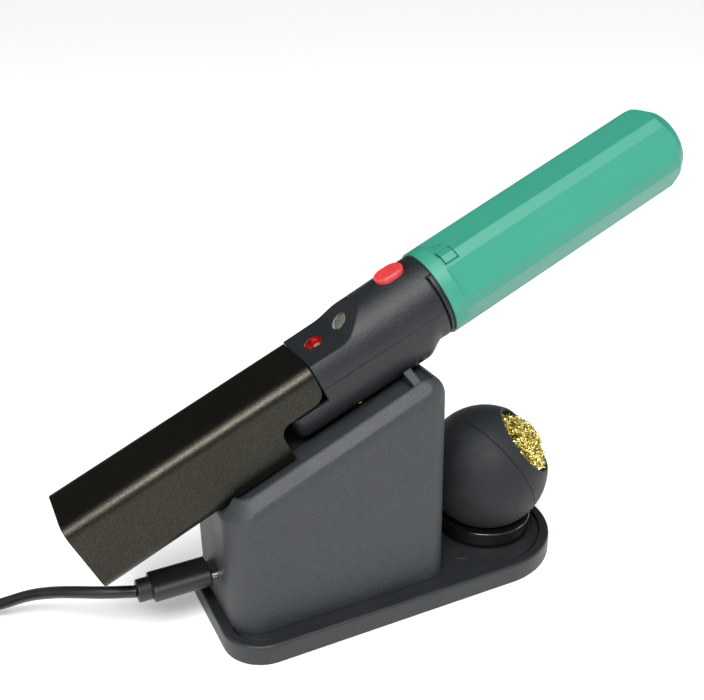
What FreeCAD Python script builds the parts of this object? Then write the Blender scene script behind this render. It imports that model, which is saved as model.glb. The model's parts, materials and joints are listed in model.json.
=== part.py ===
"""Battery soldering iron lying in its charging stand, with a tip-cleaning ball and a charging lead.

Millimetres, +Z up.  X runs along the base towards the cleaning ball and Y towards the back.
The origin is on the surface that the feet stand on, under the middle of the base.
The iron and its guard share a tilted frame: s runs up along the iron, y is the same Y, and h is the
height above the guard's top face.  Shapes drawn in it are turned into place by tilted().
"""
import FreeCAD, Part
import math
import os

V = FreeCAD.Vector
X, Y, Z = V(1, 0, 0), V(0, 1, 0), V(0, 0, 1)

# base
BASE_LENGTH, BASE_WIDTH = 120.0, 53.1
BASE_CORNER = 12.7
FOOT_PROUD = 0.5
RIM_TOP, PLATE_TOP = 6.8, 6.3
RIM_WIDTH = 3.0
FLOOR_THICK = 1.2
BALLAST_THICK = 2.4
GROOVE_WIDTH, GROOVE_BOTTOM = 0.8, 5.2
FOOT_R, FOOT_SUNK = 4.0, 0.4
FEET = [(0.0, 0.0), (-36.0, -18.0), (-36.0, 18.0), (40.0, -15.0), (40.0, 15.0)]
# stand body
BODY_LEFT, BODY_RIGHT, BODY_HALF = -57.0, 12.8, 20.0
BODY_CORNER, BODY_RIGHT_ROUND = 9.0, 6.2
BODY_WALL, DECK_THICK = 2.2, 6.2
BEVEL = 4.0
POCKET_DEPTH, POCKET_END, LIP = 2.4, 4.4, 0.3     # the deck is sunk inside the bevel's top edge
RIB_START, RIB_END, RIB_RISE = 101.4, 104.0, 3.2
RIB_TOP_HALF, RIB_HALF = 11.0, 16.2
DECK_DROP = 21.0                      # the deck's top face below the guard's top face
# tilted frame
TILT = 23.68
GUARD_END = V(-99.4, 0, 52.05)
# guard: the metal tube over the hot tip
GUARD_LENGTH, GUARD_HALF, GUARD_HEIGHT = 77.9, 11.6, 24.0
GUARD_CORNER, GUARD_WALL = 4.2, 1.0
NOTCH_START, NOTCH_DROP, NOTCH_ROUND = 62.2, 11.1, 3.5
NOTCH_LIP_ROUND = 4.0
GUARD_SCREWS = (44.0, 56.0)
# iron
AXIS_H = -7.83                        # the iron's axis below the guard's top face
HOUSING_START, HOUSING_END = 78.3, 120.2
HOUSING_R0, HOUSING_R1 = 12.4, 13.2
SHELL = 1.6
KEEL_START, KEEL_END, KEEL_RISE, KEEL_DEPTH = 66.5, 111.5, 6.5, 3.4
TOE_ROUND = 3.0
PANEL_H, RAMP_START, RAMP_END, RAMP_TOP, RAMP_TOE_ROUND = -0.3, 91.2, 101.5, 5.45, 9.0
NOSE_START, NOSE_R0, NOSE_R1 = 58.0, 4.6, 5.6
LED_S, LENS_S, BUTTON_S = 84.3, 93.7, 113.3
LED_R, LENS_R = 2.8, 2.9
BUTTON_LENGTH, BUTTON_WIDTH, BUTTON_PROUD, BUTTON_TRAVEL = 9.4, 7.0, 1.2, 0.6
BOARD_H, BOARD_THICK = -9.2, 1.4
SWITCH_TOP = -1.9
TONGUE_HALF, COLLAR_GROOVE = 8.0, 0.7
HOUSING_SCREWS = [(s, side * 9.5) for s in (83.5, 108.0) for side in (-1, 1)]
CONTACT_S, CONTACT_YS = 88.0, (-3.0, 3.0)
CONTACT_BOTTOM = -DECK_DROP - DECK_THICK
# battery sleeve
SLEEVE_START, SLEEVE_END, SLEEVE_R = 122.3, 212.6, 13.85
SLEEVE_FLAT, SLEEVE_NARROW_FLAT, SLEEVE_TURN = 12.75, 13.65, 6.0
SLEEVE_BORE, SLEEVE_BAND = 10.6, 4.4
SLEEVE_END_R, SLEEVE_END_LENGTH = 10.6, 4.3
CELL_R, CELL_LENGTH, CELL_START = 9.2, 65.0, 131.0
LATCH_S, LATCH_Y, LATCH_LENGTH, LATCH_WIDTH, LATCH_TRAVEL = 129.6, -6.1, 4.2, 4.8, 0.7
LATCH_ROOT = -3.0
# cleaning ball
BALL_C, BALL_R, BALL_SHELL = V(38.8, 0, 28.2), 20.6, 2.0
SEAM_AXIS, SEAM_OFFSET, SEAM_GAP = V(0.881, 0.153, 0.447), 0.9, 0.2
MOUTH_AXIS, MOUTH_OFFSET, MOUTH_R = V(0.64, -0.41, 0.65), 16.2, 12.0
WOOL_R, BULGE_R, BULGE_TOP, BULGE_CURVE = 18.3, 11.7, 21.0, 17.0
RING_R, RING_TOP, RING_RECESS = 15.5, 11.3, 0.6
RING_BOTTOM = PLATE_TOP - RING_RECESS + 0.15
PIN_R, PIN_SHANK_R = 3.0, 2.35
# charging socket, plug and lead
PORT_Z = 18.8
SOCKET_WIDTH, SOCKET_HEIGHT, SOCKET_LENGTH, SOCKET_SHEET = 8.94, 3.26, 7.3, 0.25
PLUG_WIDTH, PLUG_HEIGHT, PLUG_SHEET = 8.1, 2.3, 0.25
BOARD_UNDERSIDE = PORT_Z - SOCKET_HEIGHT / 2 - 1.6
POST_X, POST_YS, POST_R = -29.0, (-6.0, 6.0), 2.6
GRIP_START, GRIP_END, GRIP_WIDTH, GRIP_HEIGHT = -59.0, -76.5, 11.4, 5.8
RELIEF_R, RELIEF_END = 3.45, -80.5
CORD_D = 3.6
COIL_X, COIL_Y = -147.7, 17.2
COIL_MIDDLE_R, COIL_HALF_WIDTH = 21.0, 6.0
COIL_HEIGHT = 11.0
CHARGER_LENGTH, CHARGER_WIDTH, CHARGER_HEIGHT = 20.0, 15.0, 7.6
CHARGER_PLUG_LENGTH, CHARGER_PLUG_WIDTH, CHARGER_PLUG_HEIGHT = 12.0, 12.0, 4.5

SCREWS = [(x, side * 14.0) for x in (-46.5, 4.5) for side in (-1, 1)]


def box(x0, x1, y0, y1, z0, z1):
    return Part.makeBox(x1 - x0, y1 - y0, z1 - z0, V(x0, y0, z0))


def rod(start, axis, radius, length):
    return Part.makeCylinder(radius, length, start, axis)


def along_y(points, y0, y1):
    """A prism between y0 and y1 on an outline of (x, z) points."""
    corners = [V(x, y0, z) for x, z in points]
    return Part.Face(Part.makePolygon(corners + corners[:1])).extrude(V(0, y1 - y0, 0))


def tilted(shape):
    """Turns a shape drawn in the iron's frame (s, y, h) into place on the stand."""
    placed = shape.copy()
    turn = FreeCAD.Placement(GUARD_END, FreeCAD.Rotation(Y, -TILT))
    placed.Placement = turn.multiply(placed.Placement)
    return placed


def tilted_point(s, y, h):
    a = math.radians(TILT)
    return GUARD_END + V(s * math.cos(a) - h * math.sin(a), y, s * math.sin(a) + h * math.cos(a))


def tilted_height(x, h):
    """Z of the plane at height h of the tilted frame, where it passes over x."""
    a = math.radians(TILT)
    s = (x - GUARD_END.x + h * math.sin(a)) / math.cos(a)
    return GUARD_END.z + s * math.sin(a) + h * math.cos(a)


def edges_where(shape, test):
    return [e for e in shape.Edges if all(test(v.Point) for v in e.Vertexes)
            and test(e.valueAt((e.FirstParameter + e.LastParameter) / 2))]


def stadium(length, width, z0, z1, centre=(0.0, 0.0)):
    """An upright pill: length along X, round ends."""
    r, half = width / 2, (length - width) / 2
    cx, cy = centre
    middle = box(cx - half, cx + half, cy - r, cy + r, z0, z1)
    ends = [rod(V(cx + side * half, cy, z0), Z, r, z1 - z0) for side in (-1, 1)]
    return middle.fuse(ends).removeSplitter()


def pill_tube(x0, x1, width, height, cy, cz, wall=0.0):
    """A flat oval bar along X, hollow when it has a wall."""
    def bar(w, h):
        flat = (w - h) / 2
        parts = [rod(V(x0, cy + side * flat, cz), X, h / 2, x1 - x0) for side in (-1, 1)]
        return box(x0, x1, cy - flat, cy + flat, cz - h / 2, cz + h / 2).fuse(parts).removeSplitter()
    solid = bar(width, height)
    return solid.cut(bar(width - 2 * wall, height - 2 * wall)) if wall else solid


def base_plan(inset, z0, z1):
    """The base's outline, drawn in by inset: square-cornered left end, half-round right end."""
    left, half = -BASE_LENGTH / 2 + inset, BASE_WIDTH / 2 - inset
    corner, centre = BASE_CORNER - inset, BASE_LENGTH / 2 - BASE_WIDTH / 2
    slant = corner * (1 - math.sqrt(0.5))

    def p(x, y):
        return V(x, y, z0)

    edges = [
        Part.LineSegment(p(left + corner, -half), p(centre, -half)).toShape(),
        Part.Arc(p(centre, -half), p(centre + half, 0), p(centre, half)).toShape(),
        Part.LineSegment(p(centre, half), p(left + corner, half)).toShape(),
        Part.Arc(p(left + corner, half), p(left + slant, half - slant), p(left, half - corner)).toShape(),
        Part.LineSegment(p(left, half - corner), p(left, corner - half)).toShape(),
        Part.Arc(p(left, corner - half), p(left + slant, slant - half),
                 p(left + corner, -half)).toShape(),
    ]
    return Part.Face(Part.Wire(edges)).extrude(V(0, 0, z1 - z0))


# ---------------------------------------------------------------- cord

def cord_path(route):
    """Straight runs joined by tangent arcs, each arc as large as its two runs allow."""
    edges, radii, start = [], [], route[0]
    for before, corner, after in zip(route, route[1:], route[2:]):
        a, b = before - corner, after - corner
        half_turn = (math.pi - a.getAngle(b)) / 2
        radius = 0.45 * min(a.Length, b.Length) / math.tan(half_turn)
        radii.append(radius)
        cut = radius * math.tan(half_turn)
        a.normalize()
        b.normalize()
        bisector = a + b
        bisector.normalize()
        first, last = corner + a * cut, corner + b * cut
        middle = corner + bisector * (radius / math.cos(half_turn) - radius)
        edges.append(Part.LineSegment(start, first).toShape())
        edges.append(Part.Arc(first, middle, last).toShape())
        start = last
    edges.append(Part.LineSegment(start, route[-1]).toShape())
    return Part.Wire(edges), radii


def cord_tube(route, diameter, label):
    path, radii = cord_path(route)
    section = Part.Wire(Part.makeCircle(diameter / 2, route[0], route[1] - route[0]))
    tube = path.makePipeShell([section], True, False)
    expected = math.pi * diameter ** 2 / 4 * path.Length
    print(label, "length %.1f" % path.Length, "radii", [round(r, 1) for r in radii],
          "volume ratio %.4f" % (tube.Volume / expected))
    return tube


def lead_route():
    """From the plug's strain relief, over to the table and into the coil's outer turn."""
    return [V(RELIEF_END, 0, PORT_Z), V(-88.2, 2.6, 19.2), V(-95.4, 8.3, 18.0), V(-102.0, 16.2, 14.8),
            V(-108.8, 24.0, 10.6), V(-116.0, 29.6, 6.0), V(-124.6, 34.4, 2.8), V(-133.2, 38.0, CORD_D / 2),
            V(-141.4, 41.2, CORD_D / 2)]


def tail_route():
    """From the coil's top turn, down to the table and into the charger plug."""
    return [V(-168.7, 17.2, 9.0), V(-169.4, 9.4, 8.2), V(-170.2, 1.8, 5.6), V(-170.0, -5.8, 3.8),
            V(-170.0, -12.8, 3.8)]


# ---------------------------------------------------------------- base

def base_tray():
    tray = base_plan(0, FOOT_PROUD, RIM_TOP)
    rim_edge = edges_where(tray, lambda p: abs(p.z - RIM_TOP) < 1e-6)
    tray = tray.makeFillet(0.8, rim_edge)
    floor_top = FOOT_PROUD + FLOOR_THICK
    tray = tray.cut(base_plan(RIM_WIDTH, PLATE_TOP, RIM_TOP + 1))
    tray = tray.cut(base_plan(RIM_WIDTH, GROOVE_BOTTOM, RIM_TOP).cut(
        base_plan(RIM_WIDTH + GROOVE_WIDTH, GROOVE_BOTTOM - 1, RIM_TOP + 1)))
    tray = tray.cut(base_plan(2.4, FOOT_PROUD - 1, floor_top + BALLAST_THICK + 0.3))
    ring_centre = V(BALL_C.x, BALL_C.y, PLATE_TOP - RING_RECESS)
    tray = tray.cut(rod(ring_centre, Z, RING_R + 1.1, 2))
    mark_radius, mark_depth = 2.4, 0.15
    tray = tray.cut(rod(V(20, -17, PLATE_TOP - mark_depth), Z, mark_radius, 1))
    for x, y in SCREWS:
        tray = tray.cut(rod(V(x, y, 0), Z, 1.7, 10))
    return tray.cut(rod(V(BALL_C.x, BALL_C.y, 0), Z, PIN_SHANK_R + 0.05, 10))


def ballast_plate():
    bottom = FOOT_PROUD + FLOOR_THICK + 0.1
    plate = base_plan(5.0, bottom, bottom + BALLAST_THICK)
    for x, y in SCREWS + [(BALL_C.x, BALL_C.y)]:
        plate = plate.cut(rod(V(x, y, 0), Z, 4.2, 10))
    return plate


def bottom_cover():
    cover = base_plan(2.6, FOOT_PROUD, FOOT_PROUD + FLOOR_THICK)
    for x, y in FEET:
        cover = cover.cut(rod(V(x, y, 0), Z, FOOT_R + 0.1, FOOT_PROUD + FOOT_SUNK))
    for x, y in SCREWS:
        cover = cover.cut(Part.makeCone(3.2, 1.7, 1.3, V(x, y, FOOT_PROUD)))
    return cover


def rubber_feet():
    return Part.makeCompound([rod(V(x, y, 0), Z, FOOT_R, FOOT_PROUD + FOOT_SUNK) for x, y in FEET])


def screw(start, axis, shank_r, length, head_r, head_length):
    """A countersunk screw with a cross recess; start is the middle of the head's face."""
    head = Part.makeCone(head_r, shank_r, head_length, start, axis)
    body = head.fuse(rod(start, axis, shank_r, length)).removeSplitter()
    side = X if abs(axis.z) > 0.5 else Y
    arm, depth = 0.55 * head_r, 0.5 * head_length
    for direction in (side, axis.cross(side)):
        other = axis.cross(direction)
        corner = start - direction * arm - other * (arm / 4)
        slot = Part.Face(Part.makePolygon([corner, corner + direction * 2 * arm,
                                           corner + direction * 2 * arm + other * (arm / 2),
                                           corner + other * (arm / 2), corner])).extrude(axis * depth)
        body = body.cut(slot)
    return body


def base_screws():
    return Part.makeCompound([screw(V(x, y, FOOT_PROUD + 0.05), Z, 1.45, 15.0, 2.95, 1.25)
                              for x, y in SCREWS])


# ---------------------------------------------------------------- stand body

def keel_section(s, radius, depth):
    """A U: a half circle hung below the iron's axis on straight sides."""
    bottom = AXIS_H - depth
    p = [V(s, -radius, AXIS_H), V(s, -radius, bottom), V(s, 0, bottom - radius), V(s, radius, bottom),
         V(s, radius, AXIS_H)]
    return Part.Wire([Part.LineSegment(p[0], p[1]).toShape(), Part.Arc(p[1], p[2], p[3]).toShape(),
                      Part.LineSegment(p[3], p[4]).toShape(), Part.LineSegment(p[4], p[0]).toShape()])


def deck_pocket():
    """The sunk part of the deck, inside the lip that the bevel leaves."""
    x0, x1, half = BODY_LEFT + BEVEL + LIP, BODY_RIGHT - POCKET_END, BODY_HALF - BEVEL - LIP
    floor_h, above = -DECK_DROP - POCKET_DEPTH, 90.0
    pocket = along_y([(x0, above), (x0, tilted_height(x0, floor_h)), (x1, tilted_height(x1, floor_h)),
                      (x1, above)], -half, half)
    corners = edges_where(pocket, lambda p: abs(p.x - x0) < 1e-6 and abs(abs(p.y) - half) < 1e-6)
    return pocket.makeFillet(BODY_CORNER - BEVEL - LIP, corners)


def stand_body():
    top_left, top_right = (tilted_height(x, -DECK_DROP) for x in (BODY_LEFT, BODY_RIGHT))
    side = [(BODY_LEFT, PLATE_TOP), (BODY_LEFT, top_left), (BODY_RIGHT, top_right), (BODY_RIGHT, PLATE_TOP)]
    block = along_y(side, -BODY_HALF, BODY_HALF)
    left = edges_where(block, lambda p: abs(p.x - BODY_LEFT) < 1e-6 and abs(abs(p.y) - BODY_HALF) < 1e-6)
    body = block.makeFillet(BODY_CORNER, left)
    rim = edges_where(body, lambda p: abs(p.z - tilted_height(p.x, -DECK_DROP)) < 1e-4)
    rim = [e for e in rim if e.BoundBox.XMin < BODY_RIGHT - 1]
    body = body.makeChamfer(BEVEL, rim)
    crest = edges_where(block, lambda p: abs(p.x - BODY_RIGHT) < 1e-6 and abs(p.z - top_right) < 1e-6)
    shoulders = edges_where(block, lambda p: abs(abs(p.y) - BODY_HALF) < 1e-6
                            and abs(p.z - tilted_height(p.x, -DECK_DROP)) < 1e-4)
    right = edges_where(block, lambda p: abs(p.x - BODY_RIGHT) < 1e-6
                        and abs(abs(p.y) - BODY_HALF) < 1e-6)
    body = body.common(block.makeFillet(BODY_RIGHT_ROUND, crest + right + shoulders))
    body = body.cut(deck_pocket())

    inner_h = -DECK_DROP - DECK_THICK
    x0, x1 = BODY_LEFT + BODY_WALL, BODY_RIGHT - BODY_WALL
    hollow = along_y([(x0, PLATE_TOP - 1), (x0, tilted_height(x0, inner_h)),
                      (x1, tilted_height(x1, inner_h)), (x1, PLATE_TOP - 1)],
                     -BODY_HALF + BODY_WALL, BODY_HALF - BODY_WALL)
    corners = edges_where(hollow, lambda p: abs(p.x - x0) < 1e-6
                          and abs(abs(p.y) - BODY_HALF + BODY_WALL) < 1e-6)
    body = body.cut(hollow.makeFillet(BODY_CORNER - BODY_WALL, corners))

    profile = [V(RIB_START, y, h - DECK_DROP) for y, h in (
        (-RIB_HALF, -DECK_THICK / 2), (-RIB_HALF, 0), (-RIB_TOP_HALF, RIB_RISE), (RIB_TOP_HALF, RIB_RISE),
        (RIB_HALF, 0), (RIB_HALF, -DECK_THICK / 2))]
    rib = Part.Face(Part.makePolygon(profile + profile[:1])).extrude(V(RIB_END - RIB_START, 0, 0))
    body = body.fuse(tilted(rib))

    slot_half = GUARD_HALF + 0.3
    slot = box(-20, NOTCH_START + 0.4, -slot_half, slot_half, -GUARD_HEIGHT, 10)
    channel_r, channel_depth = HOUSING_R1 + 0.3, KEEL_DEPTH + 0.1
    channel = Part.Face(keel_section(NOTCH_START, channel_r, channel_depth)).extrude(V(60, 0, 0))
    body = body.cut([tilted(slot), tilted(channel)])

    for x, y in SCREWS:
        boss = rod(V(x, y, PLATE_TOP), Z, 3.9, 26)
        side = 1 if y > 0 else -1
        web = box(x - 1.2, x + 1.2, min(y, side * 18.5), max(y, side * 18.5), PLATE_TOP, PLATE_TOP + 26)
        body = body.fuse([boss, web]).cut(rod(V(x, y, 0), Z, 1.45, 30))
    port = pill_tube(BODY_LEFT - 1, BODY_LEFT + BODY_WALL + 1, SOCKET_WIDTH + 0.3, SOCKET_HEIGHT + 0.3,
                     0, PORT_Z)
    holes = [port]
    for s in GUARD_SCREWS:
        holes.append(tilted(rod(V(s, 0, -60), Z, 1.6, 60)))
    for y in CONTACT_YS:
        holes.append(tilted(rod(V(CONTACT_S, y, -32), Z, 1.25, 20)))
    return body.cut(holes).removeSplitter()


def guard_screws():
    """Two screws up through the deck into the guard's floor."""
    start_h = -DECK_DROP - DECK_THICK
    screws = [tilted(screw(V(s, 0, start_h - 1.5), Z, 1.5, 6.3, 2.8, 1.2)) for s in GUARD_SCREWS]
    return Part.makeCompound(screws)


def guard():
    def tube(inset):
        bar = box(-1 if inset else 0, GUARD_LENGTH + (1 if inset else 0), -GUARD_HALF + inset,
                  GUARD_HALF - inset, -GUARD_HEIGHT + inset, -inset)
        corners = [e for e in bar.Edges if abs(e.Vertexes[0].X - e.Vertexes[-1].X) > 1]
        return bar.makeFillet(GUARD_CORNER - inset, corners)
    sheet = tube(0).cut(tube(GUARD_WALL))
    half = GUARD_HALF + 1
    notch = box(NOTCH_START, GUARD_LENGTH + 10, -half, half, -GUARD_HEIGHT - 10, -NOTCH_DROP)
    inner = edges_where(notch, lambda p: abs(p.x - NOTCH_START) < 1e-6
                        and abs(p.z + NOTCH_DROP) < 1e-6)
    sheet = sheet.cut(notch.makeFillet(NOTCH_ROUND, inner))
    corner = box(GUARD_LENGTH - NOTCH_LIP_ROUND, GUARD_LENGTH + 1, -half, half, -NOTCH_DROP - 1,
                 NOTCH_LIP_ROUND - NOTCH_DROP)
    sheet = sheet.cut(corner.cut(rod(V(GUARD_LENGTH - NOTCH_LIP_ROUND, -half, NOTCH_LIP_ROUND - NOTCH_DROP),
                                     Y, NOTCH_LIP_ROUND, 2 * half)))
    for s in GUARD_SCREWS:
        sheet = sheet.cut(rod(V(s, 0, -GUARD_HEIGHT - 1), Z, 1.5, 3))
    return tilted(sheet)


def charge_board():
    board = box(-54.4, -26.0, -9.0, 9.0, BOARD_UNDERSIDE, PORT_Z - SOCKET_HEIGHT / 2)
    chip_top = PORT_Z - SOCKET_HEIGHT / 2
    chips = [box(-46, -41, -2.5, 2.5, chip_top, chip_top + 1.0),
             box(-38, -33, 2, 7, chip_top, chip_top + 2.4),
             box(-38, -35.8, -6, -3, chip_top, chip_top + 0.8)]
    board = board.fuse(chips).removeSplitter()
    return board.cut([rod(V(POST_X, y, 0), Z, 1.1, 40) for y in POST_YS])


def board_posts():
    bottom, top = PLATE_TOP, BOARD_UNDERSIDE
    return Part.makeCompound([rod(V(POST_X, y, bottom), Z, POST_R, top - bottom).cut(
        rod(V(POST_X, y, top - 6), Z, 0.8, 7)) for y in POST_YS])


def board_screws():
    top = PORT_Z - SOCKET_HEIGHT / 2
    return Part.makeCompound([rod(V(POST_X, y, top), Z, 1.9, 1.2).fuse(
        rod(V(POST_X, y, top - 6), Z, 0.78, 6.2)) for y in POST_YS])


def charge_socket():
    return pill_tube(BODY_LEFT + 0.2, BODY_LEFT + 0.2 + SOCKET_LENGTH, SOCKET_WIDTH, SOCKET_HEIGHT, 0,
                     PORT_Z, SOCKET_SHEET)


def socket_tongue():
    x0, x1, back = BODY_LEFT + 1.4, BODY_LEFT + 7.0, 0.9
    tongue = box(x0, x1, -3.2, 3.2, PORT_Z - 0.35, PORT_Z + 0.35)
    inner_w, inner_h = SOCKET_WIDTH - 2 * SOCKET_SHEET, SOCKET_HEIGHT - 2 * SOCKET_SHEET
    return tongue.fuse(pill_tube(x1 - back, x1, inner_w, inner_h, 0, PORT_Z)).removeSplitter()


def contact_block():
    block = box(CONTACT_S - 4, CONTACT_S + 4, -6, 6, CONTACT_BOTTOM - 3.2, CONTACT_BOTTOM)
    return tilted(block.cut([rod(V(CONTACT_S, y, CONTACT_BOTTOM - 5), Z, 0.95, 8) for y in CONTACT_YS]))


def contact_pins():
    top = -23.85
    pins = []
    for y in CONTACT_YS:
        barrel = rod(V(CONTACT_S, y, CONTACT_BOTTOM - 4.4), Z, 0.9, top - 0.8 - CONTACT_BOTTOM + 4.4)
        tip = Part.makeCone(0.9, 0.45, 0.8, V(CONTACT_S, y, top - 0.8))
        pins.append(tilted(barrel.fuse(tip)))
    return Part.makeCompound(pins)


def inner_wires():
    wires = []
    for y in CONTACT_YS:
        start = tilted_point(CONTACT_S, y, CONTACT_BOTTOM - 4.4)
        down = tilted_point(CONTACT_S, y, CONTACT_BOTTOM - 12.0)
        route = [start, down, V(-20.0, y * 1.2, 33.0), V(-31.5, y * 1.1, 24.0),
                 V(-31.5, y, PORT_Z - SOCKET_HEIGHT / 2)]
        path, _ = cord_path(route)
        section = Part.Wire(Part.makeCircle(0.55, route[0], route[1] - route[0]))
        wires.append(path.makePipeShell([section], True, False))
    return Part.makeCompound(wires)


# ---------------------------------------------------------------- cleaning ball

def seat_ring():
    ring = rod(V(BALL_C.x, 0, RING_BOTTOM), Z, RING_R, RING_TOP - RING_BOTTOM)
    outer = edges_where(ring, lambda p: abs(p.z - RING_TOP) < 1e-6)
    ring = ring.makeFillet(0.5, outer)
    clearance = 0.3
    ring = ring.cut(Part.makeSphere(BALL_R + clearance, BALL_C))
    web_top, web_r = 7.0, 6.5
    ring = ring.cut(rod(V(BALL_C.x, 0, web_top), Z, web_r, 5))
    return ring.cut(rod(V(BALL_C.x, 0, 0), Z, PIN_R + 0.05, 10))


def ring_pin():
    """The ring turns on this pin, which is pressed into the tray."""
    bottom, top = 2.0, 7.2
    shank = rod(V(BALL_C.x, 0, bottom), Z, PIN_SHANK_R, PLATE_TOP - RING_RECESS - bottom)
    return shank.fuse(rod(V(BALL_C.x, 0, PLATE_TOP - RING_RECESS), Z, PIN_R,
                          top - PLATE_TOP + RING_RECESS)).removeSplitter()


def beyond(axis, offset, size=60.0):
    """Everything further than offset from the ball's middle, along the axis."""
    axis = V(axis).normalize()
    return rod(BALL_C + axis * offset, axis, size, size)


def ball_shell():
    return Part.makeSphere(BALL_R, BALL_C).cut(Part.makeSphere(BALL_R - BALL_SHELL, BALL_C))


def ball_lower():
    return ball_shell().cut(beyond(SEAM_AXIS, SEAM_OFFSET))


def ball_cap():
    axis = V(MOUTH_AXIS).normalize()
    cap = ball_shell().common(beyond(SEAM_AXIS, SEAM_OFFSET + SEAM_GAP))
    cap = cap.cut(beyond(MOUTH_AXIS, MOUTH_OFFSET))
    return cap.cut(rod(BALL_C + axis * 5, axis, MOUTH_R, 30))


def brass_wool():
    """The loose bundle of wire in the ball, swelling up into the mouth."""
    axis = V(MOUTH_AXIS).normalize()
    swell = Part.makeSphere(BULGE_CURVE, BALL_C + axis * (BULGE_TOP - BULGE_CURVE))
    bulge = rod(BALL_C + axis * BULGE_R, axis, BULGE_R, BULGE_CURVE).common(swell)
    return Part.makeSphere(WOOL_R, BALL_C).fuse(bulge).removeSplitter()


# ---------------------------------------------------------------- iron

def housing_radius(s):
    return HOUSING_R0 + (HOUSING_R1 - HOUSING_R0) * (s - HOUSING_START) / (HOUSING_END - HOUSING_START)


def below_panel(drop):
    """Everything under the indicator panel and the ramp behind it, lowered by drop."""
    low, far, half = -60.0, 140.0, 30.0
    h0, h1 = PANEL_H - drop, RAMP_TOP - drop
    solid = along_y([(0, h0), (RAMP_START, h0), (RAMP_END, h1), (far, h1), (far, low), (0, low)], -half, half)
    toe = edges_where(solid, lambda p: abs(p.x - RAMP_START) < 1e-6 and abs(p.z - h0) < 1e-6)
    return solid.makeFillet(RAMP_TOE_ROUND, toe)


def body_cone(inset, s0, s1):
    return Part.makeCone(housing_radius(s0) - inset, housing_radius(s1) - inset, s1 - s0,
                         V(s0, 0, AXIS_H), X)


def housing_upper():
    outer = body_cone(0, HOUSING_START, HOUSING_END).common(below_panel(0))
    inner = body_cone(SHELL, HOUSING_START + SHELL, HOUSING_END + 1).common(below_panel(SHELL))
    shell = outer.cut(inner)
    above = box(0, 200, -40, 40, AXIS_H + 0.1, 60)
    shell = shell.common(above)
    shell = shell.cut(rod(V(HOUSING_START - 1, 0, AXIS_H), X, NOSE_R1 + 0.05, 4))
    shell = shell.cut(rod(V(LED_S, 0, -6), Z, LED_R - 0.3, 12))
    shell = shell.cut(lens_rod(LENS_R - 0.3, -4, 8))
    slot = stadium(BUTTON_LENGTH + 0.5, BUTTON_WIDTH + 0.5, 0, 10, (BUTTON_S, 0))
    return tilted(shell.cut(slot).fuse(tongue_space(0)).removeSplitter())


def tongue_space(gap):
    """The upper shell's tongue, which bridges the groove up to the sleeve, grown by gap."""
    start, end = HOUSING_END, SLEEVE_START - 0.1
    ring = rod(V(start, 0, AXIS_H), X, HOUSING_R1 + gap, end - start)
    ring = ring.cut(rod(V(start, 0, AXIS_H), X, HOUSING_R1 - SHELL - gap, end - start))
    return ring.common(box(start, end, -TONGUE_HALF - gap, TONGUE_HALF + gap, AXIS_H, 20))


def lens_seat():
    """The lens's middle on the ramp, and the ramp's outward direction there."""
    slope = math.atan2(RAMP_TOP - PANEL_H, RAMP_END - RAMP_START)
    surface = V(LENS_S, 0, PANEL_H + (LENS_S - RAMP_START) * math.tan(slope))
    return surface, V(-math.sin(slope), 0, math.cos(slope))


def lens_rod(radius, h0, length):
    """A short rod square to the ramp, through the lens's middle; h0 is its start below the surface."""
    surface, normal = lens_seat()
    return rod(surface + normal * h0, normal, radius, length)


def keel_solid(inset, s0):
    """The lower half: a deep U along the body that rises to the round collar behind the belly."""
    toe, toe_steps = [], 4
    for i in range(toe_steps + 1):
        angle = math.pi / 2 * i / toe_steps
        s = s0 + TOE_ROUND * (1 - math.cos(angle))
        radius = housing_radius(s) - inset - TOE_ROUND * (1 - math.sin(angle))
        toe.append(keel_section(s, radius, KEEL_DEPTH))
    straight = [toe[-1], keel_section(KEEL_END, housing_radius(KEEL_END) - inset, KEEL_DEPTH)]
    steps = 6
    rise = []
    for i in range(steps + 1):
        share = i / steps
        s = KEEL_END + KEEL_RISE * share
        depth = max(KEEL_DEPTH * (1 + math.cos(math.pi * share)) / 2, 0.05)
        rise.append(keel_section(s, housing_radius(s) - inset, depth))
    collar_s = (KEEL_END + KEEL_RISE, HOUSING_END + (1 if inset else 0))
    collar = [keel_section(s, housing_radius(s) - inset, 0.05) for s in collar_s]
    parts = [Part.makeLoft(straight, True, True), Part.makeLoft(toe, True, False),
             Part.makeLoft(rise, True, False), Part.makeLoft(collar, True, True)]
    return parts[0].fuse(parts[1:]).removeSplitter()


def housing_lower():
    shell = keel_solid(0, KEEL_START).cut(keel_solid(SHELL, KEEL_START + SHELL))
    under_guard = box(0, HOUSING_START, -40, 40, -NOTCH_DROP - 0.6, 20)
    shell = shell.cut(under_guard)
    ledge_top = BOARD_H
    for side in (-1, 1):
        y0, y1 = sorted((side * 9.0, side * 13.0))
        ledge = box(85, 110, y0, y1, ledge_top - 1.8, ledge_top)
        shell = shell.fuse(ledge.common(keel_solid(SHELL / 2, KEEL_START + SHELL)))
    nose_length = HOUSING_START + 4 - KEEL_START
    shell = shell.cut(rod(V(KEEL_START - 1, 0, AXIS_H), X, NOSE_R1 + 0.05, nose_length))
    for y in CONTACT_YS:
        shell = shell.cut(rod(V(CONTACT_S, y, -40), Z, 1.85, 25))
    for s, y in HOUSING_SCREWS:
        shell = shell.cut(rod(V(s, y, -40), Z, 1.1, 28))
    return tilted(shell)


def charge_pads():
    """Gold pads set flush into the keel, over the stand's spring pins."""
    keel = keel_solid(0, KEEL_START)
    pads = [tilted(rod(V(CONTACT_S, y, -30), Z, 1.8, 8.3).common(keel)) for y in CONTACT_YS]
    return Part.makeCompound(pads)


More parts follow.
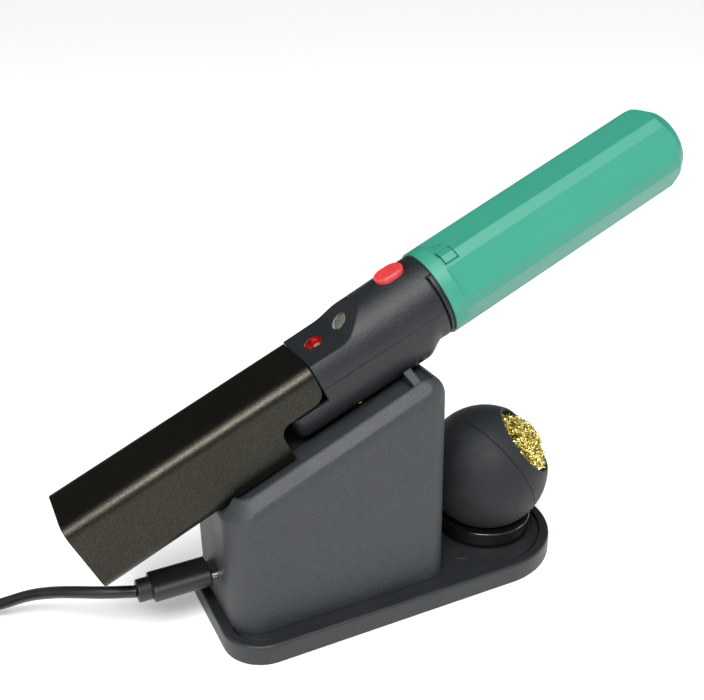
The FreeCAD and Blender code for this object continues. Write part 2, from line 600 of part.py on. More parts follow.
def housing_screws():
    screws = []
    for s, y in HOUSING_SCREWS:
        seat = AXIS_H - KEEL_DEPTH - math.sqrt(housing_radius(s) ** 2 - (abs(y) + 1.1) ** 2)
        screws.append(tilted(rod(V(s, y, seat + 0.6), Z, 1.05, 6.0)))
    return Part.makeCompound(screws)


def heater_nose():
    """The dark nose between the housing and the tip nut, inside the guard."""
    flange = rod(V(HOUSING_START + SHELL, 0, AXIS_H), X, 9.5, 1.5)
    flange = flange.cut(box(0, 200, -20, 20, PANEL_H - SHELL - 0.2, 20))
    tube = Part.makeCone(NOSE_R0, NOSE_R1, HOUSING_START - NOSE_START - 3, V(NOSE_START, 0, AXIS_H), X)
    tail = rod(V(HOUSING_START - 3, 0, AXIS_H), X, NOSE_R1, 3 + SHELL)
    nose = tube.fuse([tail, flange]).removeSplitter()
    return tilted(nose.cut(rod(V(NOSE_START - 1, 0, AXIS_H), X, 2.6, 40)))


def tip_nut():
    nut_s0, nut_s1 = 49.0, NOSE_START
    nut = rod(V(nut_s0, 0, AXIS_H), X, 4.4, nut_s1 - nut_s0)
    grooves = 12
    for i in range(grooves):
        a = 2 * math.pi * i / grooves
        centre = V(nut_s0 + 1.5, 4.6 * math.cos(a), AXIS_H + 4.6 * math.sin(a))
        nut = nut.cut(rod(centre, X, 0.5, nut_s1 - nut_s0 - 3))
    return tilted(nut.cut(rod(V(0, 0, AXIS_H), X, 2.6, 100)))


def soldering_tip():
    """A conical bit on a plain barrel that slides over the heater."""
    barrel = rod(V(26, 0, AXIS_H), X, 2.5, NOSE_START + 8 - 26)
    shoulder = Part.makeCone(1.9, 2.5, 3, V(23, 0, AXIS_H), X)
    cone = Part.makeCone(0.35, 1.9, 14, V(9, 0, AXIS_H), X)
    tip = barrel.fuse([shoulder, cone]).removeSplitter()
    return tilted(tip.cut(rod(V(30, 0, AXIS_H), X, 1.55, 60)))


def heater_core():
    return tilted(rod(V(31, 0, AXIS_H), X, 1.5, 50))


def control_board():
    board = box(84.0, 117.5, -10.0, 10.0, BOARD_H, BOARD_H + BOARD_THICK)
    top = BOARD_H + BOARD_THICK
    chips = [box(98, 103, -2.5, 2.5, top, top + 0.9), box(91, 95, 3.5, 6.5, top, top + 0.9),
             box(103.5, 107, -6.5, -2.5, top, top + 1.6)]
    return tilted(board.fuse(chips).removeSplitter())


def tact_switch():
    top = BOARD_H + BOARD_THICK
    body = box(BUTTON_S - 3, BUTTON_S + 3, -3, 3, top, top + 3.6)
    return tilted(body.fuse(rod(V(BUTTON_S, 0, top + 3.6), Z, 1.6, SWITCH_TOP - top - 3.6)))


def power_button():
    surface = AXIS_H + housing_radius(BUTTON_S)
    bottom = SWITCH_TOP + BUTTON_TRAVEL + 0.15
    cap = stadium(BUTTON_LENGTH, BUTTON_WIDTH, bottom + 2.2, surface + BUTTON_PROUD, (BUTTON_S, 0))
    top_edges = edges_where(cap, lambda p: abs(p.z - surface - BUTTON_PROUD) < 1e-6)
    cap = cap.makeFillet(0.7, top_edges)
    return tilted(cap.fuse(rod(V(BUTTON_S, 0, bottom), Z, 2.0, 2.4)).removeSplitter())


def status_led():
    dome_r = 4.4
    lens = rod(V(LED_S, 0, PANEL_H), Z, LED_R, 1.4)
    cap_sphere = Part.makeSphere(dome_r, V(LED_S, 0, PANEL_H + 1.3 - dome_r))
    lens = lens.common(cap_sphere)
    return tilted(lens.fuse(rod(V(LED_S, 0, -4.5), Z, LED_R - 0.35, 4.4)).removeSplitter())


def work_light():
    body = lens_rod(LENS_R - 0.35, -3.2, 3.4)
    rim = lens_rod(LENS_R, 0.0, 0.7)
    centre, normal = lens_seat()
    dome_r, dome_rise = 6.6, 0.65
    dome = rim.common(Part.makeSphere(dome_r, centre + normal * (dome_rise - dome_r)))
    cut = body_cone(0, HOUSING_START, HOUSING_END).common(below_panel(0))
    return tilted(body.fuse(dome.cut(cut)).removeSplitter())


def collar_ring():
    """A ring between the housing and the sleeve, with a groove in front of it."""
    ring = rod(V(HOUSING_END + COLLAR_GROOVE, 0, AXIS_H), X, HOUSING_R1,
               SLEEVE_START - HOUSING_END - COLLAR_GROOVE - 0.1).cut(tongue_space(0.15))
    neck = rod(V(HOUSING_END - 1.3, 0, AXIS_H), X, HOUSING_R1 - SHELL - 0.2, 1.3 + COLLAR_GROOVE)
    spigot = rod(V(SLEEVE_START - 0.2, 0, AXIS_H), X, SLEEVE_BORE - 0.3, 4.2)
    bore = rod(V(HOUSING_END - 4, 0, AXIS_H), X, 8.6, 20)
    return tilted(ring.fuse([neck, spigot]).cut(bore).removeSplitter())


def battery_carrier():
    """A half tube that holds the cell, with an end wall for the far contact."""
    start, end = SLEEVE_START + 4.0, CELL_START + CELL_LENGTH + 5.5
    tube = rod(V(start, 0, AXIS_H), X, SLEEVE_BORE - 0.3, end - start)
    tube = tube.cut(rod(V(start + 3.2, 0, AXIS_H), X, CELL_R + 0.1, end - start - 4.4))
    open_side = box(start + 3.2, end - 1.2, -20, 20, AXIS_H + 2.0, 30)
    return tilted(tube.cut(open_side))


def battery_cell():
    nipple = 1.2
    cell = rod(V(CELL_START, 0, AXIS_H), X, CELL_R, CELL_LENGTH - nipple)
    rims = edges_where(cell, lambda p: abs(math.hypot(p.y, p.z - AXIS_H) - CELL_R) < 1e-6)
    rims = [e for e in rims if abs(e.BoundBox.XLength) < 1e-6]
    cell = cell.makeFillet(0.8, rims)
    return tilted(cell.fuse(rod(V(CELL_START + CELL_LENGTH - nipple, 0, AXIS_H), X, 2.9, nipple)))


def contact_spring():
    """Three coils of wire that press the cell towards the far contact."""
    end = SLEEVE_START + 4.0 + 3.2
    rings = [Part.makeTorus(3.2 - 0.5 * i, 0.3, V(end + 0.35 + 0.36 * i, 0, AXIS_H), X) for i in range(3)]
    return tilted(Part.makeCompound(rings))


def contact_plate():
    end = CELL_START + CELL_LENGTH
    return tilted(box(end + 0.1, end + 0.6, -4, 4, AXIS_H - 6, AXIS_H + 1.5).fuse(
        box(end + 0.6, end + 3.9, -1.5, 1.5, AXIS_H - 1.5, AXIS_H + 1.5)).removeSplitter())


def sleeve_profile(s0, s1, grow=0.0):
    """The grip's section: six wide flats with a narrow one over each corner."""
    bar = rod(V(s0, 0, AXIS_H), X, SLEEVE_R + grow, s1 - s0)
    reach = 40.0
    for i in range(12):
        apothem = (SLEEVE_NARROW_FLAT if i % 2 else SLEEVE_FLAT) + grow
        slab = box(s0 - 1, s1 + 1, -reach, reach, apothem, apothem + reach)
        slab.rotate(V(0, 0, 0), X, SLEEVE_TURN + 30 * i)
        slab.translate(V(0, 0, AXIS_H))
        bar = bar.cut(slab)
    return bar


def battery_sleeve():
    band = rod(V(SLEEVE_START, 0, AXIS_H), X, SLEEVE_R - 0.1, SLEEVE_BAND)
    grip = sleeve_profile(SLEEVE_START + SLEEVE_BAND, SLEEVE_END)
    end_cone = Part.makeCone(SLEEVE_R, SLEEVE_END_R, SLEEVE_END_LENGTH,
                             V(SLEEVE_END - SLEEVE_END_LENGTH, 0, AXIS_H), X)
    core = rod(V(SLEEVE_START, 0, AXIS_H), X, SLEEVE_R,
               SLEEVE_END - SLEEVE_END_LENGTH - SLEEVE_START)
    sleeve = band.fuse(grip).common(core.fuse(end_cone)).removeSplitter()
    sleeve = sleeve.cut(rod(V(SLEEVE_START - 1, 0, AXIS_H), X, SLEEVE_BORE,
                            SLEEVE_END - SLEEVE_START - 2.0))
    gap = 0.25
    window = latch_block(gap, LATCH_ROOT, 20.0)
    pocket_h = AXIS_H + SLEEVE_FLAT - 0.45
    recess = box(133.2, 136.2, LATCH_Y - LATCH_WIDTH / 2, LATCH_Y + LATCH_WIDTH / 2, pocket_h, 20)
    arrow = along_h([(128.6, -1.7), (132.2, -0.6), (128.6, 0.5)], pocket_h - 0.2, 20)
    return tilted(sleeve.cut([window, recess, arrow]))


def along_h(points, h0, h1):
    """A prism between heights h0 and h1 on an outline of (s, y) points."""
    corners = [V(s, y, h0) for s, y in points]
    return Part.Face(Part.makePolygon(corners + corners[:1])).extrude(V(0, 0, h1 - h0))


def latch_block(grow, h0, h1):
    half_l, half_w = LATCH_LENGTH / 2 + grow, LATCH_WIDTH / 2 + grow
    return box(LATCH_S - half_l, LATCH_S + half_l, LATCH_Y - half_w, LATCH_Y + half_w, h0, h1)


def sleeve_latch():
    """The small key in the sleeve that frees it from the housing when pressed."""
    key = latch_block(0, LATCH_ROOT, 20.0).common(sleeve_profile(SLEEVE_START, SLEEVE_END, 0.15))
    clear_r = SLEEVE_BORE + LATCH_TRAVEL + 0.1
    return tilted(key.cut(rod(V(SLEEVE_START, 0, AXIS_H), X, clear_r, 20)))


# ---------------------------------------------------------------- charging lead

def plug_shell():
    return pill_tube(GRIP_START - 1.0, BODY_LEFT + 6.0, PLUG_WIDTH, PLUG_HEIGHT, 0, PORT_Z, PLUG_SHEET)


def plug_grip():
    grip = pill_tube(GRIP_END, GRIP_START, GRIP_WIDTH, GRIP_HEIGHT, 0, PORT_Z)
    ends = [e for e in grip.Edges if e.BoundBox.XLength < 1e-6]
    grip = grip.makeFillet(0.7, ends)
    return grip.cut(pill_tube(GRIP_START - 1.0, GRIP_START + 1, PLUG_WIDTH, PLUG_HEIGHT, 0, PORT_Z))


def plug_relief():
    collar = rod(V(RELIEF_END, 0, PORT_Z), X, RELIEF_R, GRIP_END - RELIEF_END)
    return collar.makeFillet(0.5, edges_where(collar, lambda p: abs(p.x - RELIEF_END) < 1e-6))


def cord_coil():
    """The outer shape of the coiled length, lying on the table."""
    outer, inner = COIL_MIDDLE_R + COIL_HALF_WIDTH, COIL_MIDDLE_R - COIL_HALF_WIDTH
    return rod(V(COIL_X, COIL_Y, 0), Z, outer, COIL_HEIGHT).cut(
        rod(V(COIL_X, COIL_Y, -1), Z, inner, COIL_HEIGHT + 2))


def cord_tie():
    """A strap round the bundle, on the side of the coil towards the front."""
    wall, width = 0.8, 6.0
    y, half = COIL_Y - COIL_MIDDLE_R, COIL_HALF_WIDTH + 0.5
    outer = box(COIL_X - width / 2, COIL_X + width / 2, y - half - wall, y + half + wall, 0,
                COIL_HEIGHT + 0.1 + wall)
    return outer.cut(box(COIL_X - width, COIL_X + width, y - half, y + half, -1, COIL_HEIGHT + 0.1))


def charger_frame():
    """Middle of the charger plug's cable end, and the way that it points."""
    return tail_route()[-1]


def charger_relief():
    end = charger_frame()
    return Part.makeCone(2.05, 3.2, 6.0, end, V(0, -1, 0))


def charger_grip():
    end = charger_frame() - V(0, 6.0, 0)
    x, z = end.x, CHARGER_HEIGHT / 2
    grip = box(x - CHARGER_WIDTH / 2, x + CHARGER_WIDTH / 2, end.y - CHARGER_LENGTH, end.y,
               z - CHARGER_HEIGHT / 2, z + CHARGER_HEIGHT / 2)
    long_edges = [e for e in grip.Edges if abs(e.Vertexes[0].Y - e.Vertexes[-1].Y) > 1]
    return grip.makeFillet(1.6, long_edges)


def charger_shell():
    end_y = charger_frame().y - 6.0 - CHARGER_LENGTH
    x, z = charger_frame().x, CHARGER_HEIGHT / 2
    half_w, half_h, sheet = CHARGER_PLUG_WIDTH / 2, CHARGER_PLUG_HEIGHT / 2, 0.3
    tube = box(x - half_w, x + half_w, end_y - CHARGER_PLUG_LENGTH, end_y, z - half_h, z + half_h)
    return tube.cut(box(x - half_w + sheet, x + half_w - sheet, end_y - CHARGER_PLUG_LENGTH - 1,
                        end_y - 0.6, z - half_h + sheet, z + half_h - sheet))


def charger_tongue():
    end_y = charger_frame().y - 6.0 - CHARGER_LENGTH - 0.6
    x, z = charger_frame().x, CHARGER_HEIGHT / 2
    half_w, half_h = CHARGER_PLUG_WIDTH / 2 - 0.3, CHARGER_PLUG_HEIGHT / 2 - 0.3
    return box(x - half_w, x + half_w, end_y - CHARGER_PLUG_LENGTH + 1.2, end_y, z - half_h, z - 0.1)


def charging_cord():
    return cord_tube(lead_route(), CORD_D, "charging_cord")


def cord_tail():
    return cord_tube(tail_route(), CORD_D, "cord_tail")


PARTS = [base_tray, ballast_plate, bottom_cover, rubber_feet, base_screws, stand_body, guard,
         guard_screws, charge_board, board_posts, board_screws, charge_socket, socket_tongue,
         contact_block, contact_pins, inner_wires, seat_ring, ring_pin, ball_lower, ball_cap, brass_wool,
         housing_upper, housing_lower, housing_screws, charge_pads, heater_nose, tip_nut, soldering_tip,
         heater_core, control_board, tact_switch, power_button, status_led, work_light, collar_ring,
         battery_carrier, battery_cell, contact_spring, contact_plate, battery_sleeve, sleeve_latch,
         plug_shell, plug_grip, plug_relief, charging_cord, cord_coil, cord_tie, cord_tail,
         charger_relief, charger_grip, charger_shell, charger_tongue]

os.makedirs("parts", exist_ok=True)
for make in PARTS:
    shape = make()
    if not shape.isValid() or not shape.Solids:
        print("BAD", make.__name__)
    shape.exportStep("parts/%s.step" % make.__name__)
    print(make.__name__, len(shape.Solids), round(shape.Volume, 1))
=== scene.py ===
"""Looks for the battery soldering iron in its charging stand.  Metres, in the frame of the CAD model."""
import json
import math
import random

import bpy
from mathutils import Euler, Matrix, Vector


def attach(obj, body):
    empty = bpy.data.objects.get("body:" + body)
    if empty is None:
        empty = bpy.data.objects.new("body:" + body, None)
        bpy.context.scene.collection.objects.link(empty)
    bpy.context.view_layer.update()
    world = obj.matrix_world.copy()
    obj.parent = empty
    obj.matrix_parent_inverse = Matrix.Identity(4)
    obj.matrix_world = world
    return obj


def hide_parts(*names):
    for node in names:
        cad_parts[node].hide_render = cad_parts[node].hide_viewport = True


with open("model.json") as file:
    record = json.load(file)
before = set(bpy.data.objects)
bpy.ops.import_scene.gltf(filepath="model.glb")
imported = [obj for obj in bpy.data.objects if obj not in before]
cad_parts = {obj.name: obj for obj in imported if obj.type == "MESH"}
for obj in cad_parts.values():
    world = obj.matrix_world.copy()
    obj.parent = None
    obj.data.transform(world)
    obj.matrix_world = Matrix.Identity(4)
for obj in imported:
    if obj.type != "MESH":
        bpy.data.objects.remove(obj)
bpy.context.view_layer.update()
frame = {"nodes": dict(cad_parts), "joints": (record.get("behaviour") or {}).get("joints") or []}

MM = 0.001
NODES = frame["nodes"]
JOINTS = {j["name"]: j for j in frame["joints"]}
IRON_AXIS = Vector(JOINTS["iron_lift"]["axis"])

# camera
CAMERA_PLACE = Vector((-118.3, -229.7, 194.7)) * MM
CAMERA_AZIMUTH, CAMERA_ELEVATION, CAMERA_ROLL = -25.26, 24.13, -1.05
LENS_MM, SENSOR_MM = 48.58, 36.0

# the charging lead, with the same points as the CAD model's route
CORD_D = 3.6 * MM
LEAD_POINTS_MM = [(-80.5, 0, 18.8), (-88.2, 2.6, 19.2), (-95.4, 8.3, 18.0), (-102.0, 16.2, 14.8),
                  (-108.8, 24.0, 10.6), (-116.0, 29.6, 6.0), (-124.6, 34.4, 2.8), (-133.2, 38.0, 1.8),
                  (-141.4, 41.2, 1.8)]
TAIL_POINTS_MM = [(-169.4, 9.4, 8.2), (-170.2, 1.8, 5.6), (-170.0, -5.8, 3.8), (-170.0, -12.8, 3.8)]
COIL_CENTRE_MM = (-147.7, 17.2)
COIL_START_DEG = 75.3
COIL_STEPS = 16                      # points in each turn
# (turns so far, radius, height) along the coil: three turns on the table, then two, then one on top
COIL_PLAN_MM = [(0.0, 24.8, 1.8), (0.8, 24.8, 1.8), (1.0, 21.0, 1.8), (1.8, 21.0, 1.8),
                (2.0, 17.2, 1.8), (2.45, 17.2, 1.8), (2.75, 17.2, 5.4), (3.0, 19.1, 5.4),
                (3.8, 19.1, 5.4), (4.0, 22.9, 5.4), (4.45, 22.9, 5.4), (4.75, 22.9, 9.0),
                (5.0, 21.0, 9.0), (6.29, 21.0, 9.0)]

# the brass wool in the ball
BALL_CENTRE = Vector((38.8, 0.0, 28.2)) * MM
MOUTH_AXIS = Vector((0.64, -0.41, 0.65)).normalized()
WOOL_R = 18.1 * MM
SWELL_R, SWELL_SHIFT, MOUTH_COSINE = 16.8 * MM, 4.0 * MM, 0.82
CURLS = 700
RIBBON_HALF_WIDTH, RIBBON_HALF_THICKNESS = 0.24 * MM, 0.035 * MM
MOUTH_SPREAD = 0.4                   # how far from the mouth's axis the extra curls lie, as 1 - cosine
STEPS_PER_CURL = 11

# the floor and the surroundings
FLOOR_HALF = 30.0
LIGHT_TARGET = (0.0, 0.0, 0.06)
WORLD_FALL = (-0.5, 0.6)             # where along Y the surroundings start and end getting darker
WORLD_SHADES = (1.0, 0.12)
WORLD_STRENGTH = 0.34


# ---------------------------------------------------------------- materials

def srgb(red, green, blue):
    """A colour given as 0 to 255 in each channel, as linear values."""
    def channel(c):
        c /= 255
        return c / 12.92 if c <= 0.04045 else ((c + 0.055) / 1.055) ** 2.4
    return channel(red), channel(green), channel(blue), 1.0


class Look:
    """A Principled material whose colour, roughness and normal come from noise in the object's own space."""

    def __init__(self, name, roughness, metallic=0.0, **sockets):
        self.material = bpy.data.materials.new(name)
        self.material.use_nodes = True
        self.tree = self.material.node_tree
        self.shader = self.tree.nodes["Principled BSDF"]
        self.shader.inputs["Roughness"].default_value = roughness
        self.shader.inputs["Metallic"].default_value = metallic
        for socket, value in sockets.items():
            self.shader.inputs[socket.replace("_", " ")].default_value = value
        self.place = self.tree.nodes.new("ShaderNodeTexCoord").outputs["Object"]
        self.normal = None

    def soft_edges(self, radius_mm):
        """Sharp edges catch the light as if they were rounded to this radius."""
        self.normal = self.node("ShaderNodeBevel", Radius=radius_mm * MM).outputs["Normal"]
        return self

    def node(self, kind, **inputs):
        made = self.tree.nodes.new(kind)
        for socket, value in inputs.items():
            target = made.inputs[socket.replace("_", " ")]
            if hasattr(value, "is_output"):
                self.tree.links.new(value, target)
            else:
                target.default_value = value
        return made

    def noise(self, grain_mm, detail=2.0, stretch=(1, 1, 1), axis=None):
        """Noise whose grains are about grain_mm across, drawn out by stretch in a frame turned to axis."""
        place = self.place
        if stretch != (1, 1, 1):
            turn = axis.to_track_quat("X", "Z").inverted().to_euler() if axis else (0, 0, 0)
            mapping = self.node("ShaderNodeMapping", Vector=place, Rotation=tuple(turn))
            scaled = self.node("ShaderNodeMapping", Vector=mapping.outputs["Vector"],
                               Scale=tuple(1 / s for s in stretch))
            place = scaled.outputs["Vector"]
        made = self.node("ShaderNodeTexNoise", Vector=place, Scale=1 / (grain_mm * MM), Detail=detail)
        return made.outputs["Fac"]

    def cells(self, size_mm):
        made = self.node("ShaderNodeTexVoronoi", Vector=self.place, Scale=1 / (size_mm * MM))
        return made.outputs["Distance"]

    def ramp(self, fac, low, high, low_colour, high_colour):
        made = self.node("ShaderNodeValToRGB", Fac=fac)
        made.color_ramp.elements[0].position = low
        made.color_ramp.elements[0].color = low_colour
        made.color_ramp.elements[1].position = high
        made.color_ramp.elements[1].color = high_colour
        return made.outputs["Color"]

    def blend(self, fac, a, b, mode="MIX"):
        made = self.tree.nodes.new("ShaderNodeMix")
        made.data_type, made.blend_type = "RGBA", mode
        for socket, value in ((made.inputs[0], fac), (made.inputs[6], a), (made.inputs[7], b)):
            if hasattr(value, "is_output"):
                self.tree.links.new(value, socket)
            else:
                socket.default_value = value
        return made.outputs[2]

    def colour(self, source):
        self.tree.links.new(source, self.shader.inputs["Base Color"])
        return self

    def rough(self, fac, low, high):
        made = self.node("ShaderNodeMapRange", Value=fac, From_Min=0.3, From_Max=0.7, To_Min=low,
                         To_Max=high)
        self.tree.links.new(made.outputs["Result"], self.shader.inputs["Roughness"])
        return self

    def bump(self, height, distance_mm, strength=1.0):
        made = self.node("ShaderNodeBump", Height=height, Distance=distance_mm * MM, Strength=strength)
        if self.normal:
            self.tree.links.new(self.normal, made.inputs["Normal"])
        self.normal = made.outputs["Normal"]
        self.tree.links.new(self.normal, self.shader.inputs["Normal"])
        return self


def shade(colour, factor):
    return tuple(min(1.0, c * factor) for c in colour[:3]) + (1.0,)


def moulded(name, colour, grain_mm, depth_mm, roughness, spread=0.18, edge_mm=0.35, **sockets):
    """Injection-moulded plastic: an even spark-eroded grain, with faint cloudiness over it."""
    look = Look(name, roughness, **sockets).soft_edges(edge_mm)
    grain, cloud = look.noise(grain_mm, 3), look.noise(14, 2)
    fine = look.ramp(grain, 0.35, 0.65, shade(colour, 1 - spread), shade(colour, 1 + spread))
    soft = look.ramp(cloud, 0.3, 0.7, (0.88, 0.88, 0.88, 1), (1.0, 1.0, 1.0, 1))
    look.colour(look.blend(1.0, fine, soft, "MULTIPLY"))
    look.rough(cloud, roughness - 0.05, roughness + 0.05)
    return look.bump(grain, depth_mm).material


def worked_metal(name, colour, roughness, grain_mm=0.25, stretch=(12, 1, 1), axis=None, depth_mm=0.006):
    """Turned, drawn or plated metal with fine lines along one direction and patches of tarnish."""
    look = Look(name, roughness, metallic=1.0)
    lines, patches = look.noise(grain_mm, 2, stretch, axis), look.noise(3.5, 3)
    fine = look.ramp(lines, 0.3, 0.7, shade(colour, 0.86), shade(colour, 1.08))
    soft = look.ramp(patches, 0.35, 0.75, (1, 1, 1, 1), (0.84, 0.82, 0.79, 1))
    look.colour(look.blend(1.0, fine, soft, "MULTIPLY"))
    look.rough(patches, roughness - 0.06, roughness + 0.1)
    return look.bump(lines, depth_mm).material


def guard_paint():
    """Dark sprayed coat with metal flakes that catch the light along the rounded edges."""
    look = Look("guard_flake_coat", 0.36, metallic=0.9)
    look.soft_edges(0.4)
    flakes, cloud = look.cells(0.3), look.noise(22, 2)
    dark, bright = srgb(46, 45, 39), srgb(84, 81, 73)
    fleck = look.ramp(flakes, 0.08, 0.42, bright, dark)
    soft = look.ramp(cloud, 0.3, 0.7, (0.85, 0.83, 0.8, 1), (1, 1, 1, 1))
    look.colour(look.blend(1.0, fleck, soft, "MULTIPLY"))
    look.rough(look.noise(0.3, 2), 0.27, 0.42)
    return look.bump(look.noise(0.28, 3), 0.035).material


def sleeve_plastic():
    colour = srgb(50, 136, 115)
    look = Look("sleeve_teal", 0.42, Specular_IOR_Level=0.42).soft_edges(0.5)
    grain, cloud = look.noise(0.35, 3), look.noise(26, 2)
    fine = look.ramp(grain, 0.35, 0.65, shade(colour, 0.96), shade(colour, 1.04))
    soft = look.ramp(cloud, 0.3, 0.7, (0.94, 0.96, 0.96, 1), (1, 1, 1, 1))
    look.colour(look.blend(1.0, fine, soft, "MULTIPLY"))
    look.rough(cloud, 0.38, 0.46)
    return look.bump(grain, 0.012).material


def silicone():
    """Soft moulded rubber: matt, with a dusty bloom."""
    colour = srgb(26, 29, 32)
    look = Look("ball_silicone", 0.62, Sheen_Weight=0.04, Specular_IOR_Level=0.3).soft_edges(0.4)
    grain, bloom = look.noise(0.25, 3), look.noise(5, 4)
    fine = look.ramp(grain, 0.35, 0.65, shade(colour, 0.85), shade(colour, 1.15))
    soft = look.ramp(bloom, 0.35, 0.75, (0.9, 0.9, 0.9, 1), (1.12, 1.12, 1.13, 1))
    look.colour(look.blend(1.0, fine, soft, "MULTIPLY"))
    look.rough(bloom, 0.55, 0.7)
    return look.bump(grain, 0.02).material


def glossy(name, colour, roughness=0.16, **sockets):
    look = Look(name, roughness, Coat_Weight=0.3, Coat_Roughness=0.08, **sockets)
    haze, speck = look.noise(6, 3), look.noise(0.5, 2)
    look.colour(look.ramp(haze, 0.3, 0.7, shade(colour, 0.9), shade(colour, 1.1)))
    look.rough(haze, roughness - 0.04, roughness + 0.06)
    return look.bump(speck, 0.004).material


def lamp_red():
    look = Look("lamp_red", 0.12, Coat_Weight=0.4, Coat_Roughness=0.05, Transmission_Weight=0.2,
                Emission_Color=srgb(150, 4, 10), Emission_Strength=0.06)
    # Painted highlight: where this noise (named depth) is high, the ramp paints bright red-orange glints
    # into the LED's colour. The low end is the lamp's own deep red.
    depth = look.noise(2.0, 2)
    look.colour(look.ramp(depth, 0.54, 0.72, srgb(112, 2, 8), srgb(235, 40, 34)))
    look.rough(depth, 0.08, 0.2)
    return look.bump(look.noise(0.9, 2), 0.02).material


def clear_lens():
    colour = srgb(112, 113, 106)
    look = Look("work_light_lens", 0.1, Coat_Weight=0.7, Coat_Roughness=0.04, Transmission_Weight=0.35)
    depth = look.noise(1.8, 2)
    look.colour(look.ramp(depth, 0.35, 0.65, shade(colour, 0.6), shade(colour, 1.25)))
    look.rough(depth, 0.06, 0.16)
    return look.bump(look.noise(0.8, 2), 0.02).material


def circuit_board():
    look = Look("circuit_board", 0.35, Coat_Weight=0.3, Coat_Roughness=0.15)
    tracks = look.node("ShaderNodeTexBrick", Vector=look.place, Scale=260.0, Mortar_Size=0.03)
    tracks.inputs["Color1"].default_value = srgb(14, 66, 36)
    tracks.inputs["Color2"].default_value = srgb(18, 76, 42)
    tracks.inputs["Mortar"].default_value = srgb(38, 104, 60)
    look.colour(tracks.outputs["Color"])
    look.rough(look.noise(2, 2), 0.3, 0.42)
    return look.bump(tracks.outputs["Fac"], 0.02).material


def brass_wire():
    colour = srgb(244, 232, 158)
    look = Look("brass_wire", 0.28, metallic=1.0)
    tarnish, lines = look.noise(2.2, 3), look.noise(0.12, 2)
    look.colour(look.ramp(tarnish, 0.3, 0.72, shade(colour, 1.12), srgb(190, 170, 88)))
    look.rough(tarnish, 0.2, 0.4)
    return look.bump(lines, 0.01).material


def cable_jacket():
    """Smooth extruded jacket with a slight waxy cloudiness."""
    colour = srgb(26, 27, 29)
    look = Look("cable_jacket", 0.4, Specular_IOR_Level=0.45)
    cloud, grain = look.noise(7, 3), look.noise(0.3, 2)
    look.colour(look.ramp(cloud, 0.3, 0.7, shade(colour, 0.8), shade(colour, 1.25)))
    look.rough(cloud, 0.34, 0.48)
    return look.bump(grain, 0.01).material


def cell_wrap():
    colour = srgb(34, 92, 150)
    look = Look("cell_wrap", 0.25, Coat_Weight=0.4, Coat_Roughness=0.12)
    wrinkle = look.noise(4, 3, (4, 1, 1), IRON_AXIS)
    look.colour(look.ramp(wrinkle, 0.3, 0.7, shade(colour, 0.85), shade(colour, 1.1)))
    look.rough(wrinkle, 0.2, 0.34)
    return look.bump(wrinkle, 0.05).material


def paper_floor():
    look = Look("floor_paper", 0.75, Specular_IOR_Level=0.2, Emission_Color=(1.0, 1.0, 1.0, 1.0),
                Emission_Strength=0.26)
    fibres = look.noise(2.5, 4)
    look.colour(look.ramp(fibres, 0.3, 0.7, (0.9, 0.9, 0.9, 1), (0.93, 0.93, 0.93, 1)))
    return look.bump(fibres, 0.01).material


HOUSING = moulded("housing_satin", srgb(30, 33, 36), 0.4, 0.12, 0.4, 0.35, 0.8,
                  Specular_IOR_Level=0.36)
STAND = moulded("stand_texture", srgb(45, 49, 52), 0.32, 0.12, 0.5, 0.34, 0.9, Specular_IOR_Level=0.45)
BASE = moulded("base_texture", srgb(28, 31, 33), 0.4, 0.12, 0.46, 0.4, Specular_IOR_Level=0.45)
DARK = moulded("dark_plastic", srgb(34, 35, 37), 0.4, 0.02, 0.5)
PLUG = moulded("plug_mould", srgb(27, 28, 30), 0.3, 0.03, 0.44, 0.25)
FOOT = moulded("foot_rubber", srgb(30, 30, 31), 0.4, 0.03, 0.75)
BUTTON = moulded("button_coral", srgb(208, 62, 66), 0.9, 0.05, 0.36, 0.12, Coat_Weight=0.15)
SLEEVE = sleeve_plastic()
GUARD = guard_paint()
BALL = silicone()
RING = glossy("ring_gloss", srgb(16, 17, 18), 0.14)
LAMP = lamp_red()
LENS = clear_lens()
BOARD = circuit_board()
WIRE = glossy("wire_insulation", srgb(150, 22, 20), 0.35)
BRASS = brass_wire()
CABLE = cable_jacket()
CELL = cell_wrap()
STEEL = worked_metal("plated_steel", srgb(186, 187, 190), 0.3, 0.2, (8, 1, 1), Vector((1, 0, 0)))
SCREW = worked_metal("screw_steel", srgb(150, 151, 154), 0.35, 0.15, (1, 1, 1))
NUT = worked_metal("nut_steel", srgb(120, 120, 122), 0.35, 0.2, (1, 8, 8), IRON_AXIS)
TIP = worked_metal("tip_plating", srgb(168, 166, 160), 0.26, 0.2, (1, 8, 8), IRON_AXIS)
BALLAST = worked_metal("ballast_sheet", srgb(128, 128, 130), 0.45, 0.4, (20, 1, 1), Vector((1, 0, 0)))
GOLD = worked_metal("contact_gold", srgb(226, 184, 98), 0.24, 0.3, (1, 1, 1))

